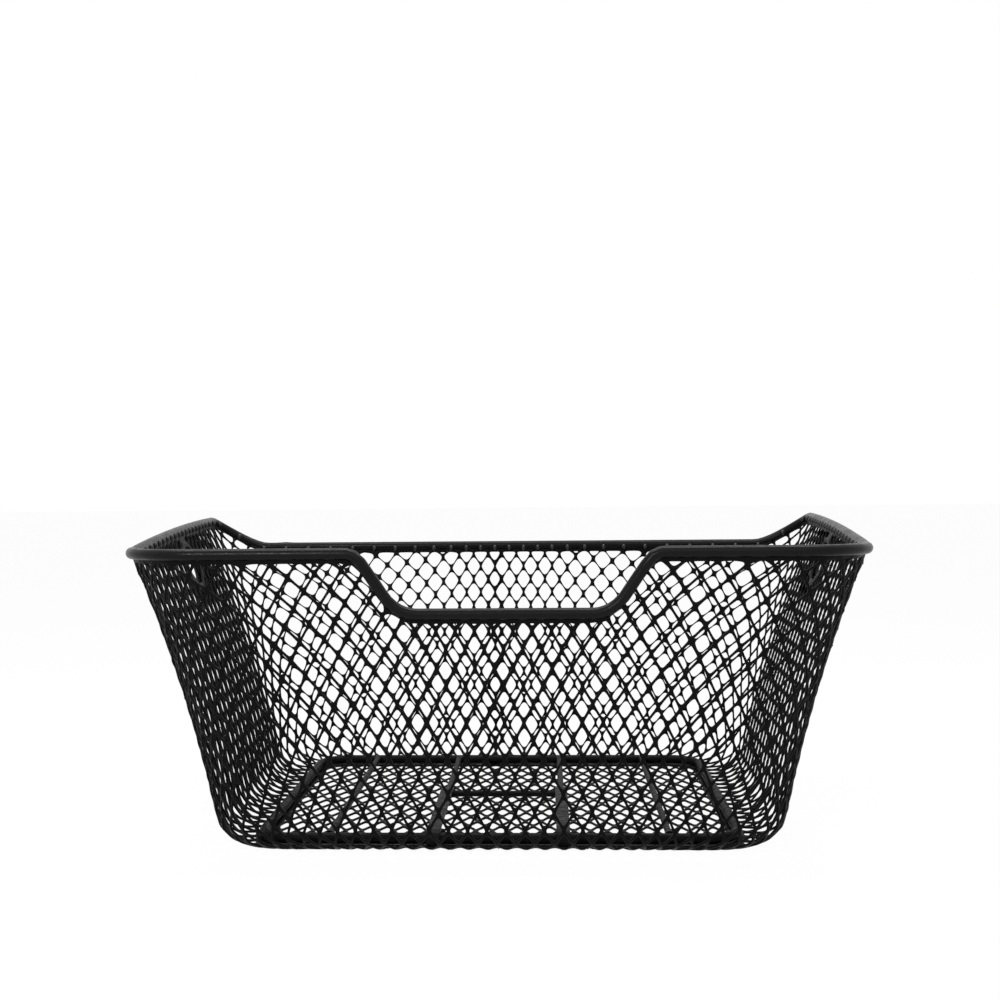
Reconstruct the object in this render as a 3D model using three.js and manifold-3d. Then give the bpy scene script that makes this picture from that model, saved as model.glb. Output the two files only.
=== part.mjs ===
import * as THREE from 'three';
import { mergeVertices } from 'three/addons/utils/BufferGeometryUtils.js';
import Module from 'manifold-3d';

// Black dipped-steel bicycle basket for a rear carrier.
// Millimetres. X runs along the long sides, Y from the near side to the far side, Z up.
// The origin is the middle of the underside, on the surface that the basket stands on.

// Floor ring and the line where the walls leave the floor
const ringHalfLength = 142;
const ringHalfDepth = 106;
const ringCornerRadius = 20;
const ringRodDiameter = 6;
const ringEdgeMargin = 1;
const ringEndMargin = 7;

// Rim rod, and the wall at the height of the raised far corners
const rimHalfLength = 226;
const rimHalfDepth = 152;
const nearRimCornerRadius = 45;
const farRimCornerRadius = 28;
const rimSpread = 9;
const rimRodDiameter = 6.6;
const nearRimHeight = 174;
const farCornerHeight = 188;
const farRimHeight = 167;
const sideRimBow = 2;

// Grip dip in the near rim, and the drop from the far corners
const gripDipDepth = 34;
const gripDipCentreX = 6.5;
const gripDipFlatHalfLength = 48.5;
const gripDipFlankLength = 40.5;
const gripDipLowerRadius = 24;
const gripDipUpperRadius = 10;
const farDropLength = 46;

// Expanded mesh sheet. Its columns are counted from the middle of the near side; a net's gap
// spans several of them, and a clipped floor diamond under the smallest share stays solid.
const meshThickness = 2;
const meshStrandWidth = 4;
const floorBendRadius = 20;
const wallFlareShare = 0.3;
const columnPitch = 11;
const fanStartColumnCount = 3;
const fanEndColumnCount = 18.5;
const columnsPerGap = 4;
const longWallGapCount = 6;
const cornerGapCount = 2;
const sideWallGapCount = 3;
const gapRows = 3;
const floorGapLength = 42;
const floorGapDepth = 44;
const floorEdgeStrand = 4;
const smallestGapShare = 0.1;

// Floor wires and the carrier bracket
const wireDiameter = 4;
const outerWireInset = 42;
const innerWireX = 38;
const bracketBarY = -5;
const strapWidth = 8;
const strapThickness = 2;
const strapCurlAngle = 100;

// Strap plates on the side walls
const plateCentreY = 34;
const plateLength = 66;
const plateHeight = 50;
const plateThickness = 1.5;
const plateCornerRadius = 16;
const plateHoleDiameter = 22;
const plateHoleShift = 18;
const plateHoleDrop = 23;
const plateHoleMeshMargin = 3;

const clearance = 0.3;
const rodSides = 8;
const rimSteps = 184;
const ringSteps = 84;

const seamHalfLength = ringHalfLength + ringRodDiameter / 2 + ringEndMargin;
const seamHalfDepth = ringHalfDepth + ringRodDiameter / 2 + ringEdgeMargin;
const seamCornerRadius = ringCornerRadius + ringRodDiameter / 2 + ringEdgeMargin;
const wallHeight = farCornerHeight - meshThickness / 2;
const floorTop = meshThickness;
const ringZ = floorTop + clearance + ringRodDiameter / 2;
const ringTop = ringZ + ringRodDiameter / 2;
const wireZ = ringTop - wireDiameter / 2;

// Mesh columns from the middle of a long wall to the corner net's two edges,
// and on to the middle of the side wall
const cornerStart = longWallGapCount / 2 * columnsPerGap;
const cornerEnd = cornerStart + cornerGapCount * columnsPerGap;
const columnsPerQuarter = cornerEnd + sideWallGapCount / 2 * columnsPerGap;
const columnsAround = 4 * columnsPerQuarter;

const wasm = await Module();
wasm.setup();

function solidFrom(geometry) {
  const bare = geometry.clone();
  bare.deleteAttribute('normal');
  bare.deleteAttribute('uv');
  const merged = mergeVertices(bare, 1e-4);
  return new wasm.Manifold(new wasm.Mesh({
    numProp: 3,
    vertProperties: new Float32Array(merged.attributes.position.array),
    triVerts: new Uint32Array(merged.index.array),
  }));
}

function geometryFrom(solid) {
  const mesh = solid.getMesh();
  const geometry = new THREE.BufferGeometry();
  geometry.setAttribute('position', new THREE.BufferAttribute(mesh.vertProperties, 3));
  geometry.setIndex(new THREE.BufferAttribute(mesh.triVerts, 1));
  geometry.computeVertexNormals();
  return geometry;
}

function smooth(from, to, value) {
  const t = Math.min(1, Math.max(0, (value - from) / (to - from)));
  return t * t * (3 - 2 * t);
}

// Plan outline: a rounded rectangle, measured from the middle of the near side
// round to the middle of the right side. Returns the point and its outward normal.
function quarterPoint(halfLength, halfDepth, radius, along) {
  const nearRun = halfLength - radius;
  const arcRun = radius * Math.PI / 2;
  if (along <= nearRun) {
    return { x: along, y: -halfDepth, nx: 0, ny: -1 };
  }
  if (along <= nearRun + arcRun) {
    const angle = (along - nearRun) / radius;
    const nx = Math.sin(angle);
    const ny = -Math.cos(angle);
    return { x: nearRun + radius * nx, y: radius - halfDepth + radius * ny, nx, ny };
  }
  return { x: halfLength, y: along - nearRun - arcRun + radius - halfDepth, nx: 1, ny: 0 };
}

function quarterRun(halfLength, halfDepth, radius) {
  return halfLength + halfDepth - (2 - Math.PI / 2) * radius;
}

const seamRun = quarterRun(seamHalfLength, seamHalfDepth, seamCornerRadius);
const naturalRun = columnPitch * columnsPerQuarter;

// Mesh columns keep their pitch in the middle of each wall, close up towards the floor
// corners and fan out towards the rim corners. Column 0 is the middle of the near side.
function station(column) {
  const turn = ((column % columnsAround) + columnsAround) % columnsAround;
  const quarter = Math.floor(turn / columnsPerQuarter);
  const into = turn - quarter * columnsPerQuarter;
  const mirrored = quarter % 2 === 1;
  const index = mirrored ? columnsPerQuarter - into : into;
  const signX = quarter < 2 ? 1 : -1;
  const isNear = quarter === 0 || quarter === 3;
  const signY = isNear ? 1 : -1;
  const fan = smooth(fanStartColumnCount, fanEndColumnCount, index);
  const flip = (p) => ({ x: signX * p.x, y: signY * p.y, nx: signX * p.nx, ny: signY * p.ny });
  const crownRadius = isNear ? nearRimCornerRadius : farRimCornerRadius;
  const crownRun = quarterRun(rimHalfLength, rimHalfDepth, crownRadius);
  const footAlong = columnPitch * index + (seamRun - naturalRun) * fan;
  const crownAlong = columnPitch * index + (crownRun - naturalRun) * fan;
  const foot = flip(quarterPoint(seamHalfLength, seamHalfDepth, seamCornerRadius, footAlong));
  const crown = flip(quarterPoint(rimHalfLength, rimHalfDepth, crownRadius, crownAlong));
  crown.x += rimSpread * (crown.x / rimHalfLength) * (crown.y / rimHalfDepth);
  return { foot, crown, crownAlong };
}

// Section of a wall that leans out by fullReach in all: a bend off the floor, then a slope
// that flares more towards the rim. The slope at the top of the bend is found by halving.
function wallSection(fullReach) {
  const reachOf = (slope) => {
    const rise = wallHeight - floorBendRadius * (1 - Math.cos(slope));
    return floorBendRadius * Math.sin(slope) + rise / Math.tan(slope) / (1 - wallFlareShare);
  };
  let low = 0.1;
  let high = Math.PI - 0.1;
  for (let k = 0; k < 50; k += 1) {
    const middle = (low + high) / 2;
    if (reachOf(middle) > fullReach) low = middle;
    else high = middle;
  }
  const bendTop = floorBendRadius * (1 - Math.cos(low));
  return { fullReach, slope: low, bendTop, bendReach: floorBendRadius * Math.sin(low) };
}

function wallReach(height, { fullReach, bendTop, bendReach }) {
  if (height <= bendTop) {
    return Math.sqrt(Math.max(0, floorBendRadius ** 2 - (floorBendRadius - height) ** 2));
  }
  const t = (height - bendTop) / (wallHeight - bendTop);
  return bendReach + (fullReach - bendReach) * t * (1 - wallFlareShare + wallFlareShare * t);
}

const reachX = rimHalfLength - seamHalfLength;
const reachY = rimHalfDepth - seamHalfDepth;
const sideSection = wallSection(reachX);
const longSection = wallSection(reachY);

function wallPoint(column, height) {
  const { foot, crown } = station(column);
  const shareX = wallReach(height, sideSection) / reachX;
  const shareY = wallReach(height, longSection) / reachY;
  return new THREE.Vector3(
    foot.x + (crown.x - foot.x) * shareX,
    foot.y + (crown.y - foot.y) * shareY,
    meshThickness / 2 + height,
  );
}

// Mean rise of the side rim along the wall, for edges that follow it
const nearCornerY = nearRimCornerRadius - rimHalfDepth;
const farCornerY = rimHalfDepth - farRimCornerRadius;
const sideRimRise = (farCornerHeight - nearRimHeight) / (farCornerY - nearCornerY);

// The far rim climbs to its corners along the last length of rod before the side wall
const farDropEnd = rimHalfLength + (Math.PI / 2 - 1) * farRimCornerRadius;

// The grip dip's flank leaves the flat by the lower bend and comes level again by the upper one
const dipRadii = gripDipLowerRadius + gripDipUpperRadius;
const dipCentresRise = gripDipDepth - dipRadii;
const dipSlope = Math.asin(dipRadii / Math.hypot(gripDipFlankLength, dipCentresRise))
  + Math.atan2(dipCentresRise, gripDipFlankLength);

function dipRise(run) {
  const left = gripDipFlankLength - run;
  const lowerRun = gripDipLowerRadius * Math.sin(dipSlope);
  if (run <= 0) return 0;
  if (left <= 0) return gripDipDepth;
  if (run < lowerRun) {
    return gripDipLowerRadius - Math.sqrt(gripDipLowerRadius ** 2 - run ** 2);
  }
  if (left < gripDipUpperRadius * Math.sin(dipSlope)) {
    return gripDipDepth - gripDipUpperRadius + Math.sqrt(gripDipUpperRadius ** 2 - left ** 2);
  }
  return gripDipLowerRadius * (1 - Math.cos(dipSlope)) + (run - lowerRun) * Math.tan(dipSlope);
}

function rimHeight(column) {
  const { crown, crownAlong } = station(column);
  if (crown.y <= nearCornerY) {
    const pastFlat = Math.abs(crown.x - gripDipCentreX) - gripDipFlatHalfLength;
    return nearRimHeight - gripDipDepth + dipRise(pastFlat);
  }
  if (crown.y < farCornerY) {
    const t = (crown.y - nearCornerY) / (farCornerY - nearCornerY);
    return nearRimHeight + (farCornerHeight - nearRimHeight) * t + 4 * sideRimBow * t * (1 - t);
  }
  const up = smooth(farDropEnd - farDropLength, farDropEnd, crownAlong);
  return farRimHeight + (farCornerHeight - farRimHeight) * up;
}

function rimPoint(column) {
  return wallPoint(column, rimHeight(column) - meshThickness / 2);
}

// Round bar along a path that starts and ends at its own butt joint
function barAlong(points, diameter, steps) {
  const section = new THREE.Shape();
  for (let k = 0; k < rodSides; k += 1) {
    const angle = 2 * Math.PI * (k + 0.5) / rodSides;
    const x = diameter / 2 * Math.cos(angle);
    const y = diameter / 2 * Math.sin(angle);
    if (k === 0) section.moveTo(x, y);
    else section.lineTo(x, y);
  }
  section.closePath();
  const path = new THREE.CatmullRomCurve3(points, false, 'centripetal');
  return new THREE.ExtrudeGeometry(section, { steps, bevelEnabled: false, extrudePath: path });
}

const rimJointColumn = 2 * columnsPerQuarter + cornerStart;
const rimPointsPerColumn = 2;
const jointColumns = clearance / 2 / columnPitch;

function rimGeometry(diameter) {
  const points = [];
  const count = columnsAround * rimPointsPerColumn;
  for (let k = 0; k <= count; k += 1) {
    const inset = k === 0 ? jointColumns : k === count ? -jointColumns : 0;
    points.push(rimPoint(rimJointColumn + k / rimPointsPerColumn + inset));
  }
  return barAlong(points, diameter, rimSteps);
}

const ringPointsPerQuarter = 24;

function ringGeometry() {
  const run = quarterRun(ringHalfLength, ringHalfDepth, ringCornerRadius);
  const count = 4 * ringPointsPerQuarter;
  const points = [];
  for (let k = 0; k <= count; k += 1) {
    const inset = k === 0 ? clearance / 2 : k === count ? -clearance / 2 : 0;
    const along = k / ringPointsPerQuarter * run + inset;
    const turn = (along + 2 * run) % (4 * run);
    const quarter = Math.floor(turn / run);
    const into = turn - quarter * run;
    const p = quarterPoint(ringHalfLength, ringHalfDepth, ringCornerRadius, quarter % 2 ? run - into : into);
    const signX = quarter < 2 ? 1 : -1;
    const signY = quarter === 0 || quarter === 3 ? 1 : -1;
    points.push(new THREE.Vector3(signX * p.x, signY * p.y, ringZ));
  }
  return barAlong(points, ringRodDiameter, ringSteps);
}

// Diamond net between an outer and an inner skin. Nodes lie where half-columns and half-rows
// share parity; every cell between them is opened, leaving its strands. The cells of the top
// row are open upwards, so that their strands end at the edge without a border.
function netGeometry(columns, rows, place) {
  const positions = [];
  const triangles = [];
  const nodes = new Map();
  const addPair = (u, v) => {
    const outer = place(u, v, 1);
    const inner = place(u, v, -1);
    positions.push(outer.x, outer.y, outer.z, inner.x, inner.y, inner.z);
    return positions.length / 3 - 2;
  };
  const nodeAt = (i, j) => {
    const key = `${i},${j}`;
    if (!nodes.has(key)) nodes.set(key, addPair(i / 2, j / 2));
    return nodes.get(key);
  };
  const quad = (a, b, c, d) => triangles.push(a, b, c, a, c, d);
  const wide = 2 * columns;
  const tall = 2 * rows;
  const onEdge = (p, q) => (p[0] === q[0] && (p[0] === 0 || p[0] === wide))
    || (p[1] === q[1] && (p[1] === 0 || p[1] === tall));

  for (let i = 0; i <= wide; i += 1) {
    for (let j = 0; j <= tall; j += 1) {
      if ((i + j) % 2 === 0) continue;
      const corners = [[i + 1, j], [i, j + 1], [i - 1, j], [i, j - 1]]
        .filter(([a, b]) => a >= 0 && a <= wide && b >= 0 && b <= tall);
      const size = corners.length;
      const mean = [0, 1].map((k) => corners.reduce((sum, p) => sum + p[k], 0) / size);
      const middle = j === tall ? [i, j] : mean;
      const isOpen = (k) => corners[k][1] === tall && corners[(k + 1) % size][1] === tall;
      const points = corners.map(([a, b]) => place(a / 2, b / 2, 0));
      const centre = place(middle[0] / 2, middle[1] / 2, 0);
      let area = 0;
      let girth = 0;
      points.forEach((p, k) => {
        const q = points[(k + 1) % size];
        area += p.clone().sub(centre).cross(q.clone().sub(centre)).length() / 2;
        if (!isOpen(k)) girth += p.distanceTo(q);
      });
      const opened = 1 - meshStrandWidth / 2 / (2 * area / girth);
      const outer = corners.map(([a, b]) => nodeAt(a, b));
      const holes = corners.map(([a, b]) => addPair(
        (middle[0] + (a - middle[0]) * opened) / 2,
        (middle[1] + (b - middle[1]) * opened) / 2,
      ));
      for (let k = 0; k < size; k += 1) {
        const next = (k + 1) % size;
        const a = outer[k];
        const b = outer[next];
        const ha = holes[k];
        const hb = holes[next];
        if (isOpen(k)) {
          quad(ha, a, a + 1, ha + 1);
          quad(b, hb, hb + 1, b + 1);
          continue;
        }
        quad(a, b, hb, ha);
        quad(a + 1, ha + 1, hb + 1, b + 1);
        quad(ha, hb, hb + 1, ha + 1);
        if (onEdge(corners[k], corners[next])) quad(b, a, a + 1, b + 1);
      }
    }
  }
  const geometry = new THREE.BufferGeometry();
  geometry.setAttribute('position', new THREE.Float32BufferAttribute(positions, 3));
  geometry.setIndex(triangles);
  return geometry;
}

// Height of a net row: even steps along the bend and then up the slope
const { slope: rowSlope, bendTop } = wallSection((reachX + reachY) / 2);

function rowHeight(share, top) {
  const bendLength = floorBendRadius * rowSlope;
  const slopeLength = (top - bendTop) / Math.sin(rowSlope);
  const along = share * (bendLength + slopeLength);
  if (along < bendLength) return floorBendRadius * (1 - Math.cos(along / floorBendRadius));
  return bendTop + (along - bendLength) * Math.sin(rowSlope);
}

// Closed band that stands on the rim line, for trimming the nets along it
const trimHeight = Math.max(gripDipDepth, farCornerHeight - farRimHeight) + rimRodDiameter;

function trimBandGeometry() {
  const positions = [];
  const triangles = [];
  const count = columnsAround * rimPointsPerColumn;
  for (let k = 0; k < count; k += 1) {
    const column = k / rimPointsPerColumn;
    const { nx, ny } = station(column).crown;
    const low = rimHeight(column) - meshThickness / 2;
    for (const height of [low, low + trimHeight]) {
      const p = wallPoint(column, height);
      for (const side of [1, -1]) {
        positions.push(p.x + side * rimRodDiameter / 2 * nx, p.y + side * rimRodDiameter / 2 * ny, p.z);
      }
    }
    const here = 4 * k;
    const next = 4 * ((k + 1) % count);
    for (const [a, b] of [[0, 2], [2, 3], [3, 1], [1, 0]]) {
      triangles.push(here + a, next + a, next + b, here + a, next + b, here + b);
    }
  }
  const geometry = new THREE.BufferGeometry();
  geometry.setAttribute('position', new THREE.Float32BufferAttribute(positions, 3));
  geometry.setIndex(triangles);
  return geometry;
}

// Room for the rod in the nets, closed over the rod's butt joint
const rimClearance = solidFrom(rimGeometry(rimRodDiameter + 2 * clearance));
const jointClearance = new THREE.SphereGeometry(rimRodDiameter / 2 + clearance, 2 * rodSides, rodSides);
jointClearance.translate(...rimPoint(rimJointColumn).toArray());
const rimCutter = rimClearance.add(solidFrom(jointClearance)).add(solidFrom(trimBandGeometry()));

// The nets' rows follow the rim. Under the grip dip they only sag, and are trimmed along its flanks.
function rowTop(column) {
  const { crown } = station(column);
  if (crown.y > nearCornerY) return rimHeight(column) - meshThickness / 2;
  const sagEnd = gripDipFlatHalfLength + gripDipFlankLength;
  const fromSag = smooth(0, sagEnd, Math.abs(crown.x - gripDipCentreX));
  return nearRimHeight - gripDipDepth * (1 - fromSag) - meshThickness / 2;
}

const probe = 0.01;

function wallNet(firstColumn, lastColumn) {
  const gaps = (lastColumn - firstColumn) / columnsPerGap;
  const start = firstColumn + jointColumns;
  const perGap = (lastColumn - firstColumn - 2 * jointColumns) / gaps;
  const middlePoint = (u, v) => {
    const column = start + u * perGap;
    return wallPoint(column, rowHeight(v / gapRows, rowTop(column)));
  };
  const place = (u, v, side) => {
    const p = middlePoint(u, v);
    if (side === 0) return p;
    const alongU = middlePoint(u + probe, v).sub(middlePoint(u - probe, v));
    const alongV = middlePoint(u, Math.min(gapRows, v + probe)).sub(middlePoint(u, Math.max(0, v - probe)));
    const out = alongU.cross(alongV).normalize();
    return p.addScaledVector(out, side * meshThickness / 2);
  };
  return solidFrom(netGeometry(gaps, gapRows, place)).subtract(rimCutter);
}

// Flat plate inside the line of the wall nets' feet, drawn in from it by a margin
function floorPlate(margin, bottom, height) {
  const outline = new THREE.Shape();
  for (let column = 0; column < columnsAround; column += columnsPerGap) {
    const { foot } = station(column);
    const x = foot.x - margin * foot.nx;
    const y = foot.y - margin * foot.ny;
    if (column === 0) outline.moveTo(x, y);
    else outline.lineTo(x, y);
  }
  outline.closePath();
  const plate = new THREE.ExtrudeGeometry(outline, { depth: height, bevelEnabled: false });
  return solidFrom(plate.translate(0, 0, bottom));
}

// Floor net: diamonds up to an edge strand, with a bond of strands at the origin
function floorNet() {
  const side = Math.hypot(floorGapLength, floorGapDepth) / 2;
  const opened = 1 - meshStrandWidth / 2 / (floorGapLength * floorGapDepth / (4 * side));
  const halfLength = floorGapLength / 2 * opened;
  const halfDepth = floorGapDepth / 2 * opened;
  const diamond = new THREE.Shape();
  diamond.moveTo(halfLength, 0);
  diamond.lineTo(0, halfDepth);
  diamond.lineTo(-halfLength, 0);
  diamond.lineTo(0, -halfDepth);
  diamond.closePath();
  const cutHeight = 3 * meshThickness;
  const cut = new THREE.ExtrudeGeometry(diamond, { depth: cutHeight, bevelEnabled: false });
  const hole = solidFrom(cut.translate(0, 0, -meshThickness));
  const holeField = floorPlate(floorEdgeStrand, -meshThickness, cutHeight);
  const reachColumns = Math.ceil(2 * seamHalfLength / floorGapLength);
  const reachRows = Math.ceil(2 * seamHalfDepth / floorGapDepth);
  let net = floorPlate(clearance, 0, meshThickness);
  for (let i = -reachColumns; i <= reachColumns; i += 1) {
    for (let j = -reachRows; j <= reachRows; j += 1) {
      if ((i + j) % 2 === 0) continue;
      const opening = hole.translate([i * floorGapLength / 2, j * floorGapDepth / 2, 0]).intersect(holeField);
      if (opening.volume() > smallestGapShare * hole.volume()) net = net.subtract(opening);
    }
  }
  return net;
}

function wireGeometry(length) {
  return new THREE.CylinderGeometry(wireDiameter / 2, wireDiameter / 2, length, rodSides);
}

// Flat strap of the carrier bracket: it lies on the cross bar and the ring,
// and its near end curls round the ring. Drawn in the YZ plane.
function strapGeometry() {
  const inner = ringRodDiameter / 2 + clearance;
  const outer = inner + strapThickness;
  const startY = bracketBarY + wireDiameter / 2;
  const from = Math.PI / 2;
  const to = from + THREE.MathUtils.degToRad(strapCurlAngle);
  const profile = new THREE.Shape();
  profile.moveTo(startY, ringZ + inner);
  profile.lineTo(startY, ringZ + outer);
  profile.lineTo(-ringHalfDepth, ringZ + outer);
  profile.absarc(-ringHalfDepth, ringZ, outer, from, to, false);
  profile.absarc(-ringHalfDepth, ringZ, inner, to, from, true);
  profile.closePath();
  const settings = { depth: strapWidth, bevelEnabled: false, curveSegments: 6 };
  const geometry = new THREE.ExtrudeGeometry(profile, settings);
  geometry.translate(0, 0, -strapWidth / 2);
  const axes = new THREE.Matrix4().makeBasis(
    new THREE.Vector3(0, 1, 0),
    new THREE.Vector3(0, 0, 1),
    new THREE.Vector3(1, 0, 0),
  );
  return geometry.applyMatrix4(axes);
}

// The plate's round hole, towards the near end of the plate
function plateHoleShape(side, margin) {
  const hole = new THREE.Shape();
  hole.absarc(-side * plateHoleShift, -plateHoleDrop, plateHoleDiameter / 2 + margin, 0, 2 * Math.PI, false);
  return hole;
}

function plateGeometry(side) {
  const half = plateLength / 2;
  const tilt = side * sideRimRise * half;
  const round = plateCornerRadius;
  const shape = new THREE.Shape();
  shape.moveTo(-half, -tilt);
  shape.lineTo(-half, round - plateHeight);
  shape.absarc(round - half, round - plateHeight, round, Math.PI, 1.5 * Math.PI, false);
  shape.lineTo(half - round, -plateHeight);
  shape.absarc(half - round, round - plateHeight, round, 1.5 * Math.PI, 2 * Math.PI, false);
  shape.lineTo(half, tilt);
  shape.closePath();
  shape.holes.push(plateHoleShape(side, 0));
  const settings = { depth: plateThickness, bevelEnabled: false, curveSegments: 8 };
  return new THREE.ExtrudeGeometry(shape, settings);
}

function holeCutterGeometry(side) {
  const settings = { depth: 4 * meshThickness, bevelEnabled: false, curveSegments: 8 };
  const geometry = new THREE.ExtrudeGeometry(plateHoleShape(side, plateHoleMeshMargin), settings);
  return geometry.translate(0, 0, -3 * meshThickness);
}

// Seat of a plate: its top middle, under the rim on the outer face of a side wall.
// Local X runs along the wall, local Y up the slope, local Z out of the basket.
function plateSeat(side) {
  const shift = side * plateCentreY / columnPitch;
  const column = (2 - side) * columnsPerQuarter + shift;
  const seatHeight = rimHeight(column) - meshThickness / 2;
  const low = wallPoint(column, seatHeight - plateHeight);
  const seat = wallPoint(column, seatHeight);
  const up = seat.clone().sub(low).normalize();
  const along = wallPoint(column + 1, seatHeight).sub(wallPoint(column - 1, seatHeight));
  along.addScaledVector(up, -along.dot(up)).normalize();
  const out = along.clone().cross(up);
  seat.addScaledVector(up, -rimRodDiameter / 2 - 3 * clearance);
  seat.addScaledVector(out, meshThickness / 2 + 2 * clearance);
  const turn = new THREE.Quaternion().setFromRotationMatrix(new THREE.Matrix4().makeBasis(along, up, out));
  return { seat, turn };
}

function withoutHole(net, side) {
  const { seat, turn } = plateSeat(side);
  const place = new THREE.Matrix4().compose(seat, turn, new THREE.Vector3(1, 1, 1));
  return net.subtract(solidFrom(holeCutterGeometry(side).applyMatrix4(place)));
}

const dippedBlack = { color: 0x121214, roughness: 0.45, metalness: 0.1 };
const stampedBlack = { color: 0x1c1c1f, roughness: 0.4, metalness: 0.2 };

const basket = new THREE.Group();
basket.name = 'bicycle_basket';

function addPiece(name, geometry, finish) {
  const mesh = new THREE.Mesh(geometry, new THREE.MeshStandardMaterial(finish));
  mesh.name = name;
  basket.add(mesh);
  return mesh;
}

// Frame rods
addPiece('rim_rod', rimGeometry(rimRodDiameter), dippedBlack);
addPiece('floor_ring', ringGeometry(), dippedBlack);

// Mesh sheets: four wall panels, four corner panels and the floor
const q = columnsPerQuarter;
const wallSpans = {
  wall_mesh_near: [-cornerStart, cornerStart],
  wall_mesh_near_right: [cornerStart, cornerEnd],
  wall_mesh_right: [cornerEnd, 2 * q - cornerEnd],
  wall_mesh_far_right: [2 * q - cornerEnd, 2 * q - cornerStart],
  wall_mesh_far: [2 * q - cornerStart, 2 * q + cornerStart],
  wall_mesh_far_left: [2 * q + cornerStart, 2 * q + cornerEnd],
  wall_mesh_left: [2 * q + cornerEnd, 4 * q - cornerEnd],
  wall_mesh_near_left: [4 * q - cornerEnd, 4 * q - cornerStart],
};
const plateSides = { wall_mesh_right: 1, wall_mesh_left: -1 };
for (const [name, [first, last]] of Object.entries(wallSpans)) {
  const net = wallNet(first, last);
  const side = plateSides[name];
  addPiece(name, geometryFrom(side ? withoutHole(net, side) : net), dippedBlack);
}
addPiece('floor_mesh', geometryFrom(floorNet()), dippedBlack);

// Floor wires from the near to the far run of the ring
const wireLength = 2 * (ringHalfDepth - ringRodDiameter / 2 - clearance);
const outerWireX = ringHalfLength - outerWireInset;
const wirePlaces = {
  floor_wire_outer_left: -outerWireX,
  floor_wire_inner_left: -innerWireX,
  floor_wire_inner_right: innerWireX,
  floor_wire_outer_right: outerWireX,
};
for (const [name, x] of Object.entries(wirePlaces)) {
  addPiece(name, wireGeometry(wireLength), dippedBlack).position.set(x, 0, wireZ);
}

// Carrier bracket: a cross bar between the inner wires and two flat straps to the near rod
const barLength = 2 * (innerWireX - wireDiameter / 2 - clearance);
const bar = addPiece('bracket_cross_bar', wireGeometry(barLength), dippedBlack);
bar.rotation.z = Math.PI / 2;
bar.position.set(0, bracketBarY, wireZ);
for (const [name, x] of [['bracket_strap_left', -innerWireX], ['bracket_strap_right', innerWireX]]) {
  addPiece(name, strapGeometry(), stampedBlack).position.x = x;
}

// Strap plates
for (const [name, side] of [['strap_plate_left', -1], ['strap_plate_right', 1]]) {
  const { seat, turn } = plateSeat(side);
  const plate = addPiece(name, plateGeometry(side), stampedBlack);
  plate.position.copy(seat);
  plate.quaternion.copy(turn);
}

export default basket;
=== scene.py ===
from functools import lru_cache
from math import acos, asin, atan2, cos, exp, hypot, pi, radians, sin, sqrt, tan

import bmesh
import bpy
from mathutils import Matrix, Vector


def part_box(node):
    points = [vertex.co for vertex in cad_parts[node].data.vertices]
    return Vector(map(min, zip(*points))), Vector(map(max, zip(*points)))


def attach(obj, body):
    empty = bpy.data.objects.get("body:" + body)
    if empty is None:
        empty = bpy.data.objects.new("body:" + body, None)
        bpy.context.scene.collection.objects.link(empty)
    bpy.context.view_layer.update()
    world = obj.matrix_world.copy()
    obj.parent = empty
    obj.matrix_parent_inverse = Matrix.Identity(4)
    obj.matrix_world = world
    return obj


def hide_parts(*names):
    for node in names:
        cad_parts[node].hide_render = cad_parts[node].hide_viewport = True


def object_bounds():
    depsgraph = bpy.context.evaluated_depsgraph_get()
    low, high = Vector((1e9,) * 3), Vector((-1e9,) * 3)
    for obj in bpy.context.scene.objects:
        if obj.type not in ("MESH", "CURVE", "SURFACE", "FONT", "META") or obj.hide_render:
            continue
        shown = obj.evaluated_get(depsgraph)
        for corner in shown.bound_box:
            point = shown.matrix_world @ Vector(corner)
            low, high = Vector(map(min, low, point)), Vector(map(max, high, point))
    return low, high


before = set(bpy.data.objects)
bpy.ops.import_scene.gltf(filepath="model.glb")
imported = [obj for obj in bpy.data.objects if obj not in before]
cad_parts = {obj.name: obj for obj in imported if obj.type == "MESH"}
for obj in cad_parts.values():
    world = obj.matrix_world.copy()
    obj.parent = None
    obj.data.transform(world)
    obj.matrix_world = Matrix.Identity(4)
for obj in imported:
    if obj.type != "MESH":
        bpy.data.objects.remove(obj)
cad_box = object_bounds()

scene = bpy.context.scene


# Wall mesh. One sheet of light expanded steel, slit and drawn out into diamonds, is bent round all
# four sides and turned in under the floor ring. The finished basket is dipped in black vinyl,
# which rounds the strands and fills the corners of the diamonds.
seam_half_length = 0.152
seam_half_depth = 0.11
seam_corner_radius = 0.024
rim_half_length = 0.226
rim_half_depth = 0.152
near_rim_corner = 0.045
far_rim_corner = 0.028
rim_spread = 0.009
near_rim_height = 0.174
far_corner_height = 0.188
far_rim_height = 0.167
side_rim_bow = 0.002
grip_dip_depth = 0.034
grip_dip_centre = 0.0065
grip_dip_flat_half = 0.0485
grip_dip_flank = 0.0405
grip_dip_lower_radius = 0.024
grip_dip_upper_radius = 0.01
far_drop_length = 0.046
floor_bend_radius = 0.02
wall_flare_share = 0.3
sheet_z = 0.001
column_pitch = 0.011
columns_per_quarter = 26
columns_around = 4 * columns_per_quarter
fan_start_column = 3
fan_end_column = 18.5


def smooth(start, end, value):
    t = min(1, max(0, (value - start) / (end - start)))
    return t * t * (3 - 2 * t)


def outline_point(half_length, half_depth, radius, along):
    """Point and outward normal of a rounded rectangle, from its near side's middle to its right side."""
    straight = half_length - radius
    arc = radius * pi / 2
    if along <= straight:
        return along, -half_depth, 0, -1
    if along <= straight + arc:
        angle = (along - straight) / radius
        nx, ny = sin(angle), -cos(angle)
        return straight + radius * nx, radius - half_depth + radius * ny, nx, ny
    return half_length, along - straight - arc + radius - half_depth, 1, 0


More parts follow.
